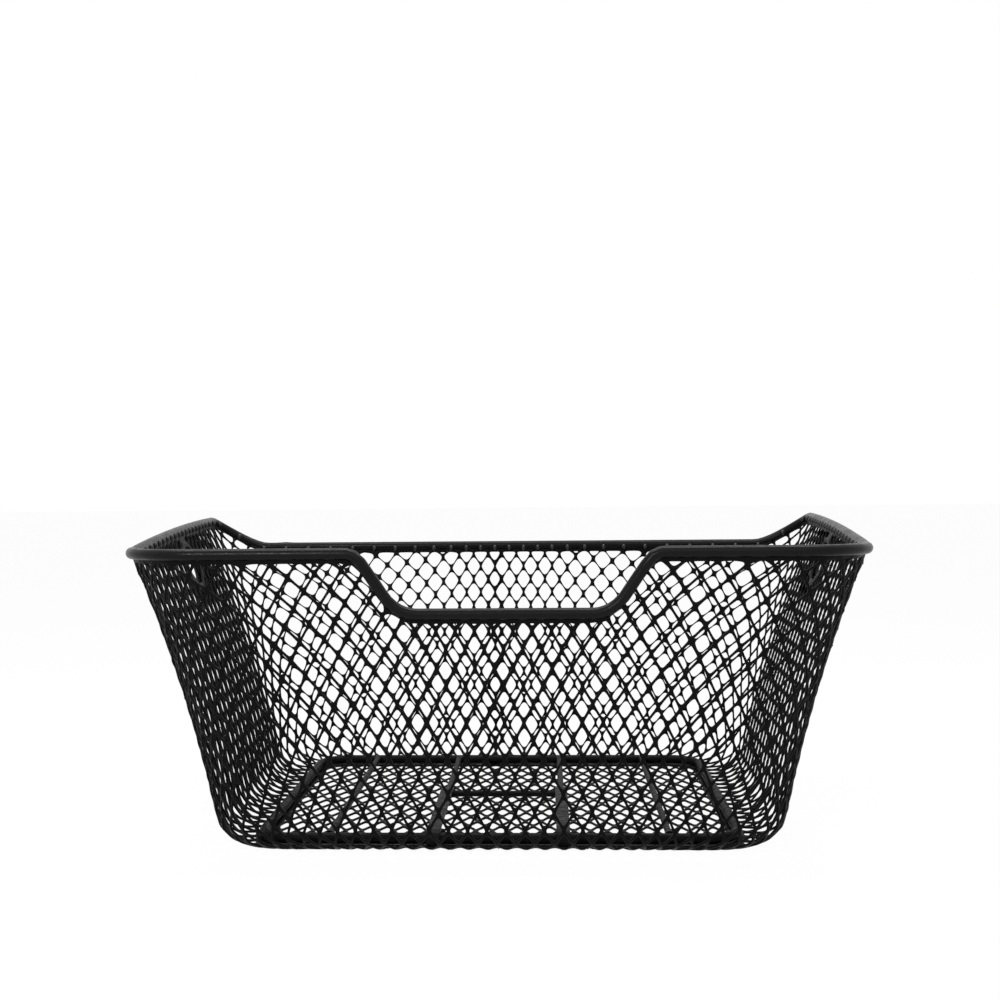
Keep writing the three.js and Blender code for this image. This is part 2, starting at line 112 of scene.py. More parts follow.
def outline_run(half_length, half_depth, radius):
    return half_length + half_depth - (2 - pi / 2) * radius


def folded(column):
    """A column's place within its quarter of the basket, and the signs of x and y there."""
    turn = column % columns_around
    quarter = int(turn // columns_per_quarter)
    into = turn - quarter * columns_per_quarter
    index = columns_per_quarter - into if quarter % 2 else into
    return index, 1 if quarter < 2 else -1, 1 if quarter in (0, 3) else -1


seam_run = outline_run(seam_half_length, seam_half_depth, seam_corner_radius)
even_run = column_pitch * columns_per_quarter


@lru_cache(maxsize=None)
def station(column):
    """Foot of a mesh column with its outward normal, and its crown level with the far corners."""
    index, sign_x, sign_y = folded(column)
    fan = smooth(fan_start_column, fan_end_column, index)
    rim_corner = near_rim_corner if sign_y > 0 else far_rim_corner
    crown_run = outline_run(rim_half_length, rim_half_depth, rim_corner)
    foot_along = column_pitch * index + (seam_run - even_run) * fan
    crown_along = column_pitch * index + (crown_run - even_run) * fan
    fx, fy, nx, ny = outline_point(seam_half_length, seam_half_depth, seam_corner_radius, foot_along)
    cx, cy, _, _ = outline_point(rim_half_length, rim_half_depth, rim_corner, crown_along)
    cx, cy = sign_x * cx, sign_y * cy
    cx += rim_spread * (cx / rim_half_length) * (cy / rim_half_depth)
    return sign_x * fx, sign_y * fy, sign_x * nx, sign_y * ny, cx, cy, crown_along


wall_height = far_corner_height - sheet_z
reach_x = rim_half_length - seam_half_length
reach_y = rim_half_depth - seam_half_depth
flattest_slope = 0.1
slope_halvings = 50


def wall_section(full_reach):
    """Slope of a wall where it leaves the floor bend, with the height and the reach of the bend."""
    low, high = flattest_slope, pi - flattest_slope
    for _ in range(slope_halvings):
        slope = (low + high) / 2
        rise = wall_height - floor_bend_radius * (1 - cos(slope))
        if floor_bend_radius * sin(slope) + rise / tan(slope) / (1 - wall_flare_share) > full_reach:
            low = slope
        else:
            high = slope
    return slope, floor_bend_radius * (1 - cos(slope)), floor_bend_radius * sin(slope)


side_section = wall_section(reach_x)
long_section = wall_section(reach_y)


def wall_reach(height, full_reach, section):
    """How far the wall leans out at a height: a bend off the floor, then a slope flaring to the rim."""
    _, bend_top, bend_reach = section
    if height <= bend_top:
        return sqrt(max(0, floor_bend_radius ** 2 - (floor_bend_radius - height) ** 2))
    t = (height - bend_top) / (wall_height - bend_top)
    return bend_reach + (full_reach - bend_reach) * t * (1 - wall_flare_share + wall_flare_share * t)


mean_slope, mean_bend_top, _ = wall_section((reach_x + reach_y) / 2)
mean_bend_length = floor_bend_radius * mean_slope


def height_at(climb):
    """Height of a point by its climb, the way up the sheet from the foot of the wall."""
    if climb < mean_bend_length:
        return floor_bend_radius * (1 - cos(climb / floor_bend_radius))
    return mean_bend_top + (climb - mean_bend_length) * sin(mean_slope)


def climb_at(height):
    if height < mean_bend_top:
        return floor_bend_radius * acos(1 - height / floor_bend_radius)
    return mean_bend_length + (height - mean_bend_top) / sin(mean_slope)


@lru_cache(maxsize=None)
def sheet_point(column, climb):
    """Middle of the sheet. Below the foot, where the climb is negative, it lies flat under the ring."""
    foot_x, foot_y, nx, ny, crown_x, crown_y, _ = station(column)
    if climb < 0:
        return Vector((foot_x + climb * nx, foot_y + climb * ny, sheet_z))
    height = height_at(climb)
    share_x = wall_reach(height, reach_x, side_section) / reach_x
    share_y = wall_reach(height, reach_y, long_section) / reach_y
    x = foot_x + (crown_x - foot_x) * share_x
    y = foot_y + (crown_y - foot_y) * share_y
    return Vector((x, y, sheet_z + height))


near_corner_y = near_rim_corner - rim_half_depth
far_corner_y = rim_half_depth - far_rim_corner
side_rise = (far_corner_height - near_rim_height) / (far_corner_y - near_corner_y)
far_drop_end = rim_half_length + (pi / 2 - 1) * far_rim_corner


# The flank of the grip dip leaves the flat by the lower bend and comes level again by the upper one
dip_radii = grip_dip_lower_radius + grip_dip_upper_radius
dip_centres_rise = grip_dip_depth - dip_radii
dip_centres_slope = atan2(dip_centres_rise, grip_dip_flank)
dip_slope = asin(dip_radii / hypot(grip_dip_flank, dip_centres_rise)) + dip_centres_slope


def dip_rise(run):
    left = grip_dip_flank - run
    lower_run = grip_dip_lower_radius * sin(dip_slope)
    if run <= 0:
        return 0
    if left <= 0:
        return grip_dip_depth
    if run < lower_run:
        return grip_dip_lower_radius - sqrt(grip_dip_lower_radius ** 2 - run ** 2)
    if left < grip_dip_upper_radius * sin(dip_slope):
        return grip_dip_depth - grip_dip_upper_radius + sqrt(grip_dip_upper_radius ** 2 - left ** 2)
    return grip_dip_lower_radius * (1 - cos(dip_slope)) + (run - lower_run) * tan(dip_slope)


def rim_height(column):
    """Height of the rim: dipped for the grip, rising along the sides, dropped behind the far corners."""
    crown_x, crown_y, crown_along = station(column)[4:]
    if crown_y <= near_corner_y:
        past_flat = abs(crown_x - grip_dip_centre) - grip_dip_flat_half
        return near_rim_height - grip_dip_depth + dip_rise(past_flat)
    if crown_y < far_corner_y:
        t = (crown_y - near_corner_y) / (far_corner_y - near_corner_y)
        bow = 4 * side_rim_bow * t * (1 - t)
        return near_rim_height + (far_corner_height - near_rim_height) * t + bow
    up = smooth(far_drop_end - far_drop_length, far_drop_end, crown_along)
    return far_rim_height + (far_corner_height - far_rim_height) * up


@lru_cache(maxsize=None)
def rim_climb(column):
    return climb_at(rim_height(column) - sheet_z)


column_probe = 0.01
climb_probe = 0.0001


def across_sheet(column, climb):
    """Way along the sheet for one column."""
    step = sheet_point(column + column_probe, climb) - sheet_point(column - column_probe, climb)
    return step / (2 * column_probe)


def up_sheet(column, climb):
    """Way up the sheet for one unit of climb."""
    step = sheet_point(column, climb + climb_probe) - sheet_point(column, climb - climb_probe)
    return step / (2 * climb_probe)


# Strands keep the length they were slit to, so a diamond grows shorter where the columns open towards
# the rim corners. The rows cross the columns squarely and sink towards each corner.
strand_length = 0.0118
flattest_rise = 0.3
start_climb = 0.1
row_reach = 17
sink_steps = 8

sink = [start_climb]
for k in range(columns_per_quarter * sink_steps):
    column = (k + 0.5) / sink_steps
    across, up = across_sheet(column, sink[-1]), up_sheet(column, sink[-1])
    sink.append(sink[-1] - across.dot(up) / up.length_squared / sink_steps)


def middle_row(column):
    place = folded(column)[0] * sink_steps
    before = min(int(place), len(sink) - 2)
    return sink[before] + (sink[before + 1] - sink[before]) * (place - before)


def row_step(column, climb):
    up = up_sheet(column, climb)
    half_pitch = across_sheet(column, climb).cross(up.normalized()).length / 2
    rise = sqrt(max(strand_length ** 2 - half_pitch ** 2, (flattest_rise * strand_length) ** 2))
    return rise / up.length


@lru_cache(maxsize=None)
def column_rows(half_column):
    """Climb of each half-row along a half-column, by its number from the middle row."""
    column = half_column / 2
    rows = {0: middle_row(column)}
    for side in (1, -1):
        climb = rows[0]
        for row in range(1, row_reach + 1):
            climb += side * row_step(column, climb)
            rows[side * row] = climb
    return rows


def wall_node(half_column, row):
    return half_column / 2, column_rows(half_column % (2 * columns_around))[row]


# Seen from the front, the left wall looks almost closed and the right one more open. Here that comes
# from strands that lean out of the sheet in the side walls: an assumed twist, which fades out in the
# long walls.
strand_lean = 0.0012


def on_wall(point, offset=0.0):
    """Place of a point of the wall sheet, leaned out of it by its offset from an opening's middle."""
    column, climb = point
    outward = across_sheet(column, climb).cross(up_sheet(column, climb)).normalized()
    return sheet_point(column, climb) - 2 * strand_lean * outward.x ** 2 * offset * outward


def between(a, b, share):
    return tuple(u + (v - u) * share for u, v in zip(a, b))


# An opening has straight sides along the strands. Its corners are rounded by the vinyl, over a share of
# each side, and its two side corners are cut back to leave a bond about two strands wide.
bond_width = 0.9
fullest_side_round = 0.4
tip_fullness = 0.55
smallest_opening = 0.12
outline_step = 0.25


def cell(node_at, place, half_column, row, strand_width, corner_round):
    """Outline of a diamond through the middles of its strands, and the outline of its opening."""
    tips = [node_at(half_column + 1, row), node_at(half_column, row + 1),
            node_at(half_column - 1, row), node_at(half_column, row - 1)]
    right, top, left, bottom = (place(tip) for tip in tips)
    half_width = (right - left).length / 2
    half_height = (top - bottom).length / 2
    side = hypot(half_width, half_height)
    share = max(smallest_opening, 1 - strand_width * side / (2 * half_width * half_height))
    bond_cut = 1 - (1 - bond_width * strand_width / half_width) / share
    side_round = min(fullest_side_round, max(corner_round * (half_width / side) ** 2, bond_cut))
    end_round = corner_round * (half_height / side) ** 2
    centre = tuple(sum(values) / 4 for values in zip(*tips))
    outline, opening = [], []
    for k, tip in enumerate(tips):
        before, after = tips[k - 1], tips[(k + 1) % 4]
        corner = end_round if k % 2 else side_round
        outline += [between(tip, before, outline_step), tip, between(tip, after, outline_step)]
        opening += [between(centre, between(tip, before, corner), share),
                    between(centre, tip, share * (1 - tip_fullness * corner)),
                    between(centre, between(tip, after, corner), share)]
    return outline, opening


edge_strand = 0.0046
smallest_room = 0.0008


def trimmed(outline, opening, room):
    """Cuts a cell off at the sheet's end. Its opening is drawn back from the edge, or closed."""
    count = len(outline)
    rooms = [room(point) for point in outline]
    kept_outline, kept_opening = [], []
    for k in range(count):
        after = (k + 1) % count
        if rooms[k] >= 0:
            kept_outline.append(outline[k])
            kept_opening.append(opening[k])
        if (rooms[k] >= 0) != (rooms[after] >= 0):
            share = rooms[k] / (rooms[k] - rooms[after])
            kept_outline.append(between(outline[k], outline[after], share))
            kept_opening.append(between(opening[k], opening[after], share))
    deepest = max(opening, key=room)
    spare = room(deepest) - edge_strand
    if spare < smallest_room:
        return kept_outline, []
    for k, point in enumerate(kept_opening):
        lack = edge_strand - room(point)
        if lack > 0:
            kept_opening[k] = between(point, deepest, lack / (lack + spare))
    return kept_outline, kept_opening


# Corners of neighbouring cells are one point if they agree to these digits across and up the sheet
across_digits = 5
up_digits = 7


def cell_mesh(name, cells, room, place):
    """Flat net of the strands round the cells' openings. The vertices of the openings are marked."""
    numbers, places, faces, holes = {}, [], [], []

    def add_place(point, is_hole, offset=0.0):
        places.append(place(point, offset))
        holes.append(is_hole)
        return len(places) - 1

    for outline, opening in cells:
        if max(room(point) for point in outline) < smallest_room:
            continue
        middle = sum(point[0] for point in outline) / len(outline)
        outline, opening = trimmed(outline, opening, room)
        ring, rim = [], []
        for k, point in enumerate(outline):
            key = (round(point[0], across_digits), round(point[1], up_digits))
            if key not in numbers:
                numbers[key] = add_place(point, False)
            if numbers[key] in ring:
                continue
            ring.append(numbers[key])
            if opening:
                rim.append(add_place(opening[k], True, opening[k][0] - middle))
        if not opening and len(ring) > 2:
            faces.append(ring)
        for k in range(len(rim)):
            after = (k + 1) % len(rim)
            faces.append((ring[k], ring[after], rim[after], rim[k]))
    mesh = bpy.data.meshes.new(name)
    mesh.from_pydata(places, [], faces)
    mesh.attributes.new("hole", "BOOLEAN", "POINT").data.foreach_set("value", holes)
    return mesh


def new_tree(name, **inputs):
    """A node tree that takes geometry and the named inputs, with its input and output nodes."""
    tree = bpy.data.node_groups.new(name, "GeometryNodeTree")
    tree.interface.new_socket("Geometry", in_out="INPUT", socket_type="NodeSocketGeometry")
    tree.interface.new_socket("Geometry", in_out="OUTPUT", socket_type="NodeSocketGeometry")
    for label, kind in inputs.items():
        tree.interface.new_socket(label, in_out="INPUT", socket_type="NodeSocket" + kind)
    return tree, tree.nodes.new("NodeGroupInput").outputs, tree.nodes.new("NodeGroupOutput").inputs


def add_node(tree, kind, inputs=None, **settings):
    """Adds a node. An input given as a socket is linked, and any other value is set."""
    node = tree.nodes.new(kind)
    for label, value in settings.items():
        setattr(node, label, value)
    for label, value in (inputs or {}).items():
        socket = node.inputs[label] if isinstance(label, int) else next(
            s for s in node.inputs if s.enabled and s.name == label)
        if isinstance(value, bpy.types.NodeSocket):
            tree.links.new(value, socket)
        else:
            socket.default_value = value
    return node


def named_value(tree, label, kind):
    node = add_node(tree, "GeometryNodeInputNamedAttribute", {"Name": label}, data_type=kind)
    return node.outputs["Attribute"]


def end_tree(tree, mesh, material, finished):
    """Closes a tree: smooth shading, instances made real, and the finish."""
    shaded = add_node(tree, "GeometryNodeSetShadeSmooth", {"Geometry": mesh})
    real = add_node(tree, "GeometryNodeRealizeInstances", {"Geometry": shaded.outputs[0]})
    painted = add_node(tree, "GeometryNodeSetMaterial",
                       {"Geometry": real.outputs[0], "Material": material})
    tree.links.new(painted.outputs[0], finished["Geometry"])


def shape_of(piece):
    """Mesh of a piece with its modifiers or its curve worked out."""
    worked_out = bpy.context.evaluated_depsgraph_get()
    return bpy.data.meshes.new_from_object(piece.evaluated_get(worked_out))


def grown(name, mesh, tree, **values):
    """A plain mesh object: what a tree makes of a mesh with its named inputs set."""
    piece = bpy.data.objects.new(name, mesh)
    scene.collection.objects.link(piece)
    modifier = piece.modifiers.new("grow", "NODES")
    modifier.node_group = tree
    for item in tree.interface.items_tree:
        if item.in_out == "INPUT" and item.name in values:
            modifier[item.identifier] = values[item.name]
    result = shape_of(piece)
    piece.modifiers.remove(modifier)
    piece.data = result
    result.name = name
    for label in [a.name for a in result.attributes if a.name in ("hole", "border", "swell")]:
        result.attributes.remove(result.attributes[label])
    return piece


# Thickens a flat net of strands and rounds them. The outer border of a net stays sharp, so that
# neighbouring nets meet without a gap.
merge_distance = 1e-6

strand_tree, given, finished = new_tree("expanded mesh", Thickness="Float", Material="Material")
neighbours = add_node(strand_tree, "GeometryNodeInputMeshEdgeNeighbors")
single = add_node(strand_tree, "FunctionNodeCompare", {"A": neighbours.outputs[0], "B": 1},
                  data_type="INT", operation="EQUAL")
border = add_node(strand_tree, "FunctionNodeBooleanMath", operation="NIMPLY",
                  inputs={0: single.outputs[0], 1: named_value(strand_tree, "hole", "BOOLEAN")})
bordered = add_node(strand_tree, "GeometryNodeStoreNamedAttribute",
                    data_type="BOOLEAN", domain="EDGE",
                    inputs={"Geometry": given["Geometry"], "Name": "border", "Value": border.outputs[0]})
half_down = add_node(strand_tree, "ShaderNodeMath", {0: given["Thickness"], 1: -0.5},
                     operation="MULTIPLY")
normal = add_node(strand_tree, "GeometryNodeInputNormal")
below = add_node(strand_tree, "ShaderNodeVectorMath",
                 {0: normal.outputs[0], "Scale": half_down.outputs[0]}, operation="SCALE")
lowered = add_node(strand_tree, "GeometryNodeSetPosition",
                   {"Geometry": bordered.outputs[0], "Offset": below.outputs[0]})
raised = add_node(strand_tree, "GeometryNodeExtrudeMesh", mode="FACES",
                  inputs={"Mesh": lowered.outputs[0], "Offset Scale": given["Thickness"],
                          "Individual": False})
underside = add_node(strand_tree, "GeometryNodeFlipFaces", {"Mesh": lowered.outputs[0]})
both = add_node(strand_tree, "GeometryNodeJoinGeometry")
strand_tree.links.new(raised.outputs["Mesh"], both.inputs[0])
strand_tree.links.new(underside.outputs[0], both.inputs[0])
joined = add_node(strand_tree, "GeometryNodeMergeByDistance",
                  {"Geometry": both.outputs[0], "Distance": merge_distance})
kept_sharp = named_value(strand_tree, "border", "BOOLEAN")
rounded = add_node(strand_tree, "GeometryNodeSubdivisionSurface",
                   {"Mesh": joined.outputs[0], "Level": 1,
                    "Edge Crease": kept_sharp, "Vertex Crease": kept_sharp})
end_tree(strand_tree, rounded.outputs[0], given["Material"], finished)


# The vinyl's colour is clouded, and its gloss comes in finer patches, some glossier and some duller.
cloud_scale = 70.0
cloud_detail = 4.0
patch_scale = 240.0
patch_detail = 3.0
patch_low = 0.3
patch_high = 0.7
glossier_by = 0.08
duller_by = 0.1
lump_detail = 2.0
lump_strength = 0.5


def dipped_vinyl(name, deep, worn, specular, roughness, grain, lump):
    """Black dip coat: cloudy colour, uneven satin gloss, and lumps of a given grain and height."""
    material = bpy.data.materials.new(name)
    material.use_nodes = True
    tree = material.node_tree
    shader = tree.nodes["Principled BSDF"]
    shader.inputs["Specular IOR Level"].default_value = specular
    place = add_node(tree, "ShaderNodeTexCoord").outputs["Object"]
    cloud = add_node(tree, "ShaderNodeTexNoise",
                     {"Vector": place, "Scale": cloud_scale, "Detail": cloud_detail})
    shade = add_node(tree, "ShaderNodeMix", data_type="RGBA",
                     inputs={"Factor": cloud.outputs[0], "A": (*deep, 1), "B": (*worn, 1)})
    colour = next(s for s in shade.outputs if s.enabled)
    tree.links.new(colour, shader.inputs["Base Color"])
    patch = add_node(tree, "ShaderNodeTexNoise",
                     {"Vector": place, "Scale": patch_scale, "Detail": patch_detail})
    gloss = add_node(tree, "ShaderNodeMapRange",
                     {"Value": patch.outputs[0], "From Min": patch_low, "From Max": patch_high,
                      "To Min": roughness - glossier_by, "To Max": roughness + duller_by})
    tree.links.new(gloss.outputs[0], shader.inputs["Roughness"])
    peel = add_node(tree, "ShaderNodeTexNoise",
                    {"Vector": place, "Scale": grain, "Detail": lump_detail})
    bump = add_node(tree, "ShaderNodeBump",
                    {"Height": peel.outputs[0], "Strength": lump_strength, "Distance": lump})
    tree.links.new(bump.outputs[0], shader.inputs["Normal"])
    return material


mesh_vinyl = dipped_vinyl("mesh_vinyl", deep=(0.002, 0.002, 0.0022), worn=(0.004, 0.004, 0.0043),
                          specular=0.05, roughness=0.42, grain=900.0, lump=0.0001)
sheet_thickness = 0.0014
sheet_end_drop = 0.001

# Seen from the front, the strands look finer and their corners rounder towards the far wall. Here they
# change over between these two places on their way back.
near_strand_width = 0.0014
far_strand_width = 0.0008
near_corner_round = 0.36
far_corner_round = 0.55
near_look_end = -0.1
far_look_start = 0.12

flange_half_length = 0.142
flange_half_depth = 0.106
flange_corner_radius = 0.02


def inside_flange(x, y):
    """Distance inside the line, under the floor ring's middle, where the wall sheet's flange ends."""
    beyond_x = abs(x) - (flange_half_length - flange_corner_radius)
    beyond_y = abs(y) - (flange_half_depth - flange_corner_radius)
    past_corner = hypot(max(beyond_x, 0), max(beyond_y, 0))
    return flange_corner_radius - past_corner - min(max(beyond_x, beyond_y), 0)


# A round window is cut in each side wall, over the hole of the strap plate that is fixed outside it.
plate_centre_y = 0.034
plate_height = 0.05
plate_rim_drop = 0.0042
plate_hole_shift = 0.018
plate_hole_drop = 0.023
window_radius = 0.014


def plate_frame(side):
    """Frame of a strap plate: x along the wall, y up it and z out, from the plate's top middle."""
    column = (2 - side) * columns_per_quarter + side * plate_centre_y / column_pitch
    top_height = rim_height(column) - sheet_z
    top_climb = climb_at(top_height)
    seat = sheet_point(column, top_climb)
    up = (seat - sheet_point(column, climb_at(top_height - plate_height))).normalized()
    along = sheet_point(column + 1, top_climb) - sheet_point(column - 1, top_climb)
    along = (along - along.dot(up) * up).normalized()
    turn = Matrix((along, up, along.cross(up))).transposed().to_4x4()
    return Matrix.Translation(seat - plate_rim_drop * up) @ turn


windows = [plate_frame(side) @ Vector((-side * plate_hole_shift, -plate_hole_drop, 0))
           for side in (-1, 1)]


def wall_room(point):
    column, climb = point
    place = sheet_point(column, climb)
    window_gap = min((place - centre).length for centre in windows) - window_radius
    return min(rim_climb(column) - sheet_end_drop - climb, -inside_flange(place.x, place.y), window_gap)


def wall_cell(half_column, row):
    middle = sheet_point(half_column / 2, column_rows(half_column % (2 * columns_around))[row])
    towards_far = smooth(near_look_end, far_look_start, middle.y)
    width = near_strand_width + (far_strand_width - near_strand_width) * towards_far
    corner_round = near_corner_round + (far_corner_round - near_corner_round) * towards_far
    return cell(wall_node, on_wall, half_column, row, width, corner_round)


cell_rows = range(1 - row_reach, row_reach)


def column_cells(first, last):
    return [wall_cell(h, row) for h in range(first, last) for row in cell_rows if (h + row) % 2]


corner_start = 12
corner_end = 20
quarter = columns_per_quarter
wall_spans = {
    "wall_mesh_near": (-corner_start, corner_start),
    "wall_mesh_near_right": (corner_start, corner_end),
    "wall_mesh_right": (corner_end, 2 * quarter - corner_end),
    "wall_mesh_far_right": (2 * quarter - corner_end, 2 * quarter - corner_start),
    "wall_mesh_far": (2 * quarter - corner_start, 2 * quarter + corner_start),
    "wall_mesh_far_left": (2 * quarter + corner_start, 2 * quarter + corner_end),
    "wall_mesh_left": (2 * quarter + corner_end, 4 * quarter - corner_end),
    "wall_mesh_near_left": (4 * quarter - corner_end, 4 * quarter - corner_start),
}
for name, (first, last) in wall_spans.items():
    net = cell_mesh(name, column_cells(2 * first, 2 * last), wall_room, on_wall)
    piece = grown(name + "_strands", net, strand_tree, Thickness=sheet_thickness, Material=mesh_vinyl)
    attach(piece, "root")
    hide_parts(name)


# Lap seam. The two ends of the wall sheet overlap by one column of diamonds in the middle of the far
# wall, and are spot-welded there, so that the column shows doubled strands.
lap_half_column = 4 * quarter + 2
lap_strand_width = 0.0024
lap_shift = (0.02, 0.0002)
lap_depth = 0.001


def on_lap(point, offset):
    column, climb = point[0] + lap_shift[0], point[1] + lap_shift[1]
    outward = across_sheet(column, climb).cross(up_sheet(column, climb)).normalized()
    return on_wall((column, climb), offset) - lap_depth * outward


lap_cells = [cell(wall_node, on_wall, lap_half_column, row, lap_strand_width, far_corner_round)
             for row in cell_rows if (lap_half_column + row) % 2]
lap = cell_mesh("wall_lap", lap_cells, wall_room, on_lap)
piece = grown("wall_lap_seam", lap, strand_tree, Thickness=sheet_thickness, Material=mesh_vinyl)
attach(piece, "root")


# Floor mesh. A flat sheet of the same expanded steel, its long diamonds laid from front to back.
# Its edge meets the turned-in foot of the wall sheet under the floor ring.
floor_pitch = 0.01
floor_diamond = 0.0217
floor_edge_gap = 0.0003
floor_column_reach = 30
floor_row_reach = 11


def floor_node(half_column, row):
    return half_column * floor_pitch / 2, row * floor_diamond / 2


def on_floor(point, _offset=0.0):
    return Vector((point[0], point[1], sheet_z))


def floor_room(point):
    return inside_flange(*point) - floor_edge_gap


floor_columns = range(-floor_column_reach, floor_column_reach + 1)
floor_rows = range(-floor_row_reach, floor_row_reach + 1)
floor_cells = [cell(floor_node, on_floor, h, row, near_strand_width, near_corner_round)
               for h in floor_columns for row in floor_rows if (h + row) % 2]
floor_net = cell_mesh("floor_mesh", floor_cells, floor_room, on_floor)
piece = grown("floor_mesh_strands", floor_net, strand_tree,
              Thickness=sheet_thickness, Material=mesh_vinyl)
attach(piece, "root")
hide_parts("floor_mesh")


# Rim rod. A round steel rod bent to the line of the rim and butt-welded to itself at the far left,
# where the weld leaves a slight swelling under the coat.
rim_rod_radius = 0.0033
rim_joint_column = 2 * quarter + corner_start
rim_points_per_column = 4
rim_sides = 16
weld_swell = 0.14
weld_length = 0.004

rod_tree, given, finished = new_tree("rod along a path",
                                     Radius="Float", Sides="Int", Material="Material")
path = add_node(rod_tree, "GeometryNodeMeshToCurve", {"Mesh": given["Geometry"]})
section = add_node(rod_tree, "GeometryNodeCurvePrimitiveCircle",
                   {"Resolution": given["Sides"], "Radius": given["Radius"]}, mode="RADIUS")
swept = add_node(rod_tree, "GeometryNodeCurveToMesh",
                 {"Curve": path.outputs[0], "Profile Curve": section.outputs[0],
                  "Scale": named_value(rod_tree, "swell", "FLOAT"), "Fill Caps": True})
end_tree(rod_tree, swept.outputs[0], given["Material"], finished)


def path_mesh(name, points, swells, closed):
    mesh = bpy.data.meshes.new(name)
    edges = [(k, k + 1) for k in range(len(points) - 1)]
    if closed:
        edges.append((len(points) - 1, 0))
    mesh.from_pydata(points, edges, [])
    mesh.attributes.new("swell", "FLOAT", "POINT").data.foreach_set("value", swells)
    return mesh


def joint_swells(line, joint):
    """Thickness of a rod along its line, swollen round the weld that joins its ends."""
    return [1 + weld_swell * exp(-((point - joint).length / weld_length) ** 2) for point in line]


def rim_point(column):
    return sheet_point(column, rim_climb(column))


rod_vinyl = dipped_vinyl("rod_vinyl", deep=(0.002, 0.002, 0.0022), worn=(0.005, 0.005, 0.0054),
                         specular=0.12, roughness=0.3, grain=500.0, lump=0.0002)
rim_columns = [k / rim_points_per_column for k in range(columns_around * rim_points_per_column)]
rim_line = [rim_point(column) for column in rim_columns]
rim_joint = rim_point(rim_joint_column)
rim_swells = joint_swells(rim_line, rim_joint)
piece = grown("rim_rod_coated", path_mesh("rim_rod", rim_line, rim_swells, True), rod_tree,
              Radius=rim_rod_radius, Sides=rim_sides, Material=rod_vinyl)
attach(piece, "root")
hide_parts("rim_rod")


# Rim welds. The wall sheet is spot-welded to the inner side of the rim rod at each column of diamonds,
# and the vinyl leaves a small round lump over each weld. The lumps show on the far rim, and are assumed
# along the rest of it.
weld_radius = 0.0016
weld_inset = 0.0027
weld_drop = 0.0022
lump_roundness = 2
lump_stretch = 1.35

weld_tree, given, finished = new_tree("lumps at points", Radius="Float", Material="Material")
lump = add_node(weld_tree, "GeometryNodeMeshIcoSphere",
                {"Radius": given["Radius"], "Subdivisions": lump_roundness})
lumps = add_node(weld_tree, "GeometryNodeInstanceOnPoints",
                 {"Points": given["Geometry"], "Instance": lump.outputs[0],
                  "Scale": (1.0, 1.0, lump_stretch)})
end_tree(weld_tree, lumps.outputs[0], given["Material"], finished)


def weld_point(column):
    climb = rim_climb(column)
    up = up_sheet(column, climb).normalized()
    inward = up.cross(across_sheet(column, climb)).normalized()
    return rim_point(column) + weld_inset * inward - weld_drop * up


# The lumps' coat gets a lighter colour than the rest of the dip coat: a painted highlight, so that they
# show as light dots.
weld_vinyl_painted_highlight = dipped_vinyl("weld_vinyl_painted_highlight", deep=(0.01, 0.01, 0.0105), worn=(0.02, 0.02, 0.021),
                          specular=0.35, roughness=0.36, grain=700.0, lump=0.0001)
weld_mesh = bpy.data.meshes.new("rim_welds")
weld_mesh.from_pydata([weld_point(column) for column in range(columns_around)], [], [])
piece = grown("rim_welds", weld_mesh, weld_tree, Radius=weld_radius, Material=weld_vinyl_painted_highlight)
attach(piece, "root")


# Floor ring. A thinner rod bent to a rounded rectangle, welded on top of the floor sheet and the
# turned-in foot of the walls, so that it clamps both.
ring_half_length = flange_half_length
ring_half_depth = flange_half_depth
ring_corner_radius = flange_corner_radius
ring_rod_radius = 0.003
ring_z = 0.0053
ring_points_per_quarter = 48
ring_sides = 14
ring_run = outline_run(ring_half_length, ring_half_depth, ring_corner_radius)


def ring_point(k):
    quarter_turn, into = divmod(k, ring_points_per_quarter)
    step = ring_points_per_quarter - into if quarter_turn % 2 else into
    x, y, _, _ = outline_point(ring_half_length, ring_half_depth, ring_corner_radius,
                               ring_run * step / ring_points_per_quarter)
    return Vector((x if quarter_turn < 2 else -x, y if quarter_turn in (0, 3) else -y, ring_z))


ring_line = [ring_point(k) for k in range(4 * ring_points_per_quarter)]
ring_joint = Vector((0, ring_half_depth, ring_z))
ring_swells = joint_swells(ring_line, ring_joint)
floor_vinyl = dipped_vinyl("floor_vinyl", deep=(0.002, 0.002, 0.0022), worn=(0.005, 0.005, 0.0054),
                           specular=0.05, roughness=0.4, grain=260.0, lump=0.0015)
piece = grown("floor_ring_coated", path_mesh("floor_ring", ring_line, ring_swells, True), rod_tree,
              Radius=ring_rod_radius, Sides=ring_sides, Material=floor_vinyl)
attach(piece, "root")
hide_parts("floor_ring")


# Floor wires and cross bar. Straight wires butt-welded between the near and far runs of the ring, and
# a short bar between the two inner ones. Each end swells where the weld joins it to its neighbour.
wire_radius = 0.002
wire_steps = 24
wire_sides = 12
wire_end_swell = 0.35
wire_end_reach = 0.005
wire_overlap = 0.0006
along_x = 0
along_y = 1


def welded_wire(name, axis):
    """A wire in place of a CAD one, along x or y, run a little into what it is welded to."""
    low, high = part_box(name)
    middle = (low + high) / 2
    half = (high[axis] - low[axis]) / 2 + wire_overlap
    points, swells = [], []
    for k in range(wire_steps + 1):
        along = half * (1 - cos(pi * k / wire_steps)) - half
        point = middle.copy()
        point[axis] += along
        points.append(point)
        swells.append(1 + wire_end_swell * exp(-((half - abs(along)) / wire_end_reach) ** 2))
    wire = grown(name + "_coated", path_mesh(name, points, swells, False), rod_tree,
                 Radius=wire_radius, Sides=wire_sides, Material=floor_vinyl)
    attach(wire, "root")
    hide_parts(name)


for wire_place in ("outer_left", "inner_left", "inner_right", "outer_right"):
    welded_wire("floor_wire_" + wire_place, along_y)
welded_wire("bracket_cross_bar", along_x)


